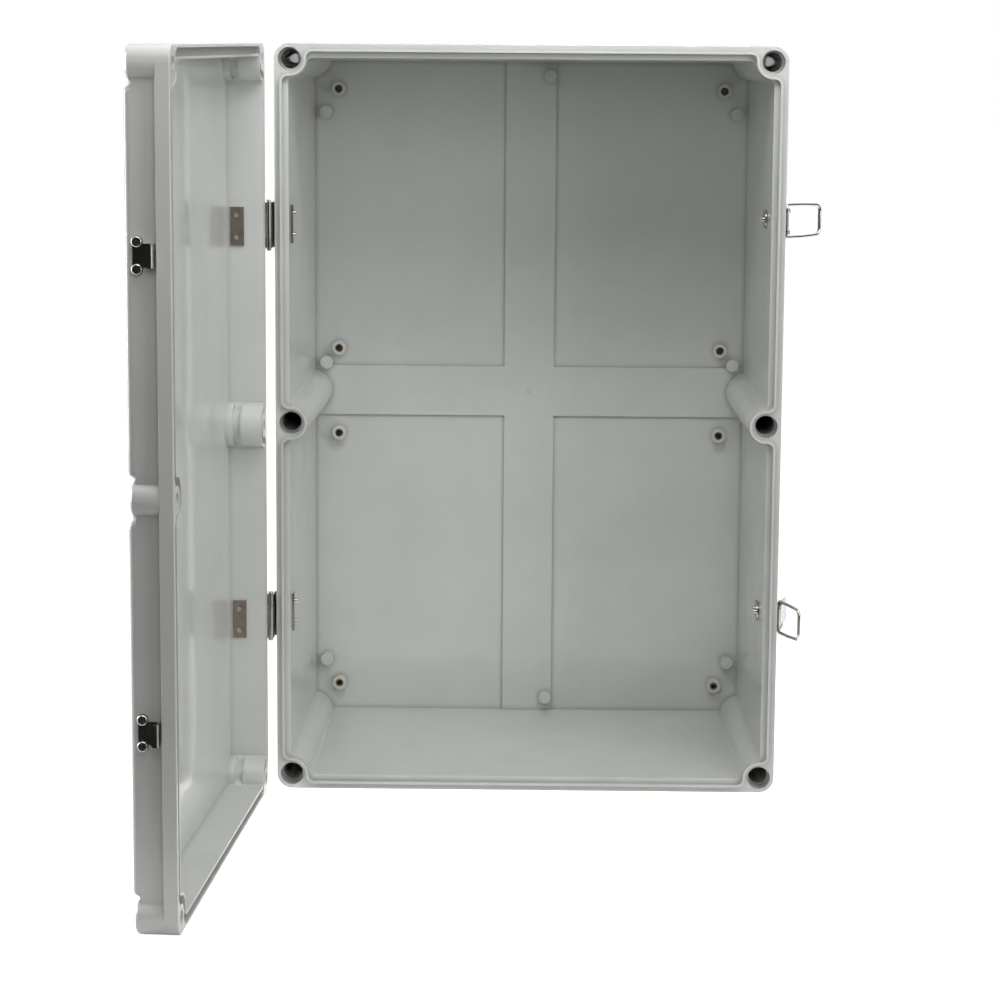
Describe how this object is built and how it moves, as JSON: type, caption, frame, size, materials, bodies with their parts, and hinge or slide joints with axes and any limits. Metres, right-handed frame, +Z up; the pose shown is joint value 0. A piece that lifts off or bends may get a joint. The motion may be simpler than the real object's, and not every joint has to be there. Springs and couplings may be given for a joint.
{
  "type": "hinged polycarbonate enclosure",
  "caption": "Tall grey moulded enclosure with a hinged lid, wire-bail toggle latches, a sealing tongue and gasket, screw wells and inserts for a mounting plate.",
  "frame": {"origin": "centre of the base's back face, on the wall plane", "axes": "+X to the right as seen from the front, +Y into the wall, +Z up"},
  "size_m": [0.509, 0.6566, 0.612],
  "materials": {
    "polycarbonate": "satin",
    "gasket": "matte",
    "stainless_sheet": "polished",
    "screw_steel": "polished",
    "brass": "satin"
  },
  "bodies": {
    "base": {"base_housing": "polycarbonate", "plate_inserts": "brass", "upper_hinge_base_leaf": "stainless_sheet", "lower_hinge_base_leaf": "stainless_sheet", "upper_hinge_pin": "stainless_sheet", "lower_hinge_pin": "stainless_sheet", "upper_hinge_base_backing": "stainless_sheet", "lower_hinge_base_backing": "stainless_sheet", "hinge_base_screws": "screw_steel", "upper_latch_bracket": "stainless_sheet", "lower_latch_bracket": "stainless_sheet", "upper_lever_pin": "stainless_sheet", "lower_lever_pin": "stainless_sheet", "upper_latch_backing": "stainless_sheet", "lower_latch_backing": "stainless_sheet", "latch_screws": "screw_steel"},
    "lid": {"lid_housing": "polycarbonate", "lid_gasket": "gasket", "upper_hinge_lid_leaf": "stainless_sheet", "lower_hinge_lid_leaf": "stainless_sheet", "upper_hinge_lid_backing": "stainless_sheet", "lower_hinge_lid_backing": "stainless_sheet", "hinge_lid_screws": "screw_steel", "upper_keeper": "stainless_sheet", "lower_keeper": "stainless_sheet", "upper_keeper_backing": "stainless_sheet", "lower_keeper_backing": "stainless_sheet", "keeper_screws": "screw_steel"},
    "upper_lever": {"upper_latch_lever": "stainless_sheet"},
    "upper_tube": {"upper_bail_tube": "stainless_sheet"},
    "upper_bail": {"upper_latch_bail": "stainless_sheet"},
    "lower_lever": {"lower_latch_lever": "stainless_sheet"},
    "lower_tube": {"lower_bail_tube": "stainless_sheet"},
    "lower_bail": {"lower_latch_bail": "stainless_sheet"}
  },
  "joints": [
    {"name": "lid_hinge", "type": "hinge", "parent": "base", "child": "lid", "pos_m": [-0.211, -0.2358, 0], "axis": [0, 0, -1], "range_deg": [-93.45, 86.55]},
    {"name": "upper_lever_pivot", "type": "hinge", "parent": "base", "child": "upper_lever", "pos_m": [0.2081, -0.222, 0.166], "axis": [0, 0, -1], "range_deg": [0, 135]},
    {"name": "upper_tube_turn", "type": "hinge", "parent": "upper_lever", "child": "upper_tube", "pos_m": [0.2079, -0.2135, 0.166], "axis": [0, 0, 1], "range_deg": [0, 135]},
    {"name": "upper_bail_swing", "type": "hinge", "parent": "upper_tube", "child": "upper_bail", "pos_m": [0.2079, -0.2135, 0.166], "axis": [0, 0, 1], "range_deg": [-130.5, 49.5]},
    {"name": "lower_lever_pivot", "type": "hinge", "parent": "base", "child": "lower_lever", "pos_m": [0.2081, -0.222, -0.1612], "axis": [0, 0, -1], "range_deg": [-10, 125]},
    {"name": "lower_tube_turn", "type": "hinge", "parent": "lower_lever", "child": "lower_tube", "pos_m": [0.20938, -0.21359, -0.1612], "axis": [0, 0, 1], "range_deg": [-10, 125]},
    {"name": "lower_bail_swing", "type": "hinge", "parent": "lower_tube", "child": "lower_bail", "pos_m": [0.20938, -0.21359, -0.1612], "axis": [0, 0, 1], "range_deg": [-20, 160]}
  ],
  "couplings": [
    {"joint": "upper_tube_turn", "follows": "upper_lever_pivot", "ratio": 1},
    {"joint": "lower_tube_turn", "follows": "lower_lever_pivot", "ratio": 1}
  ]
}
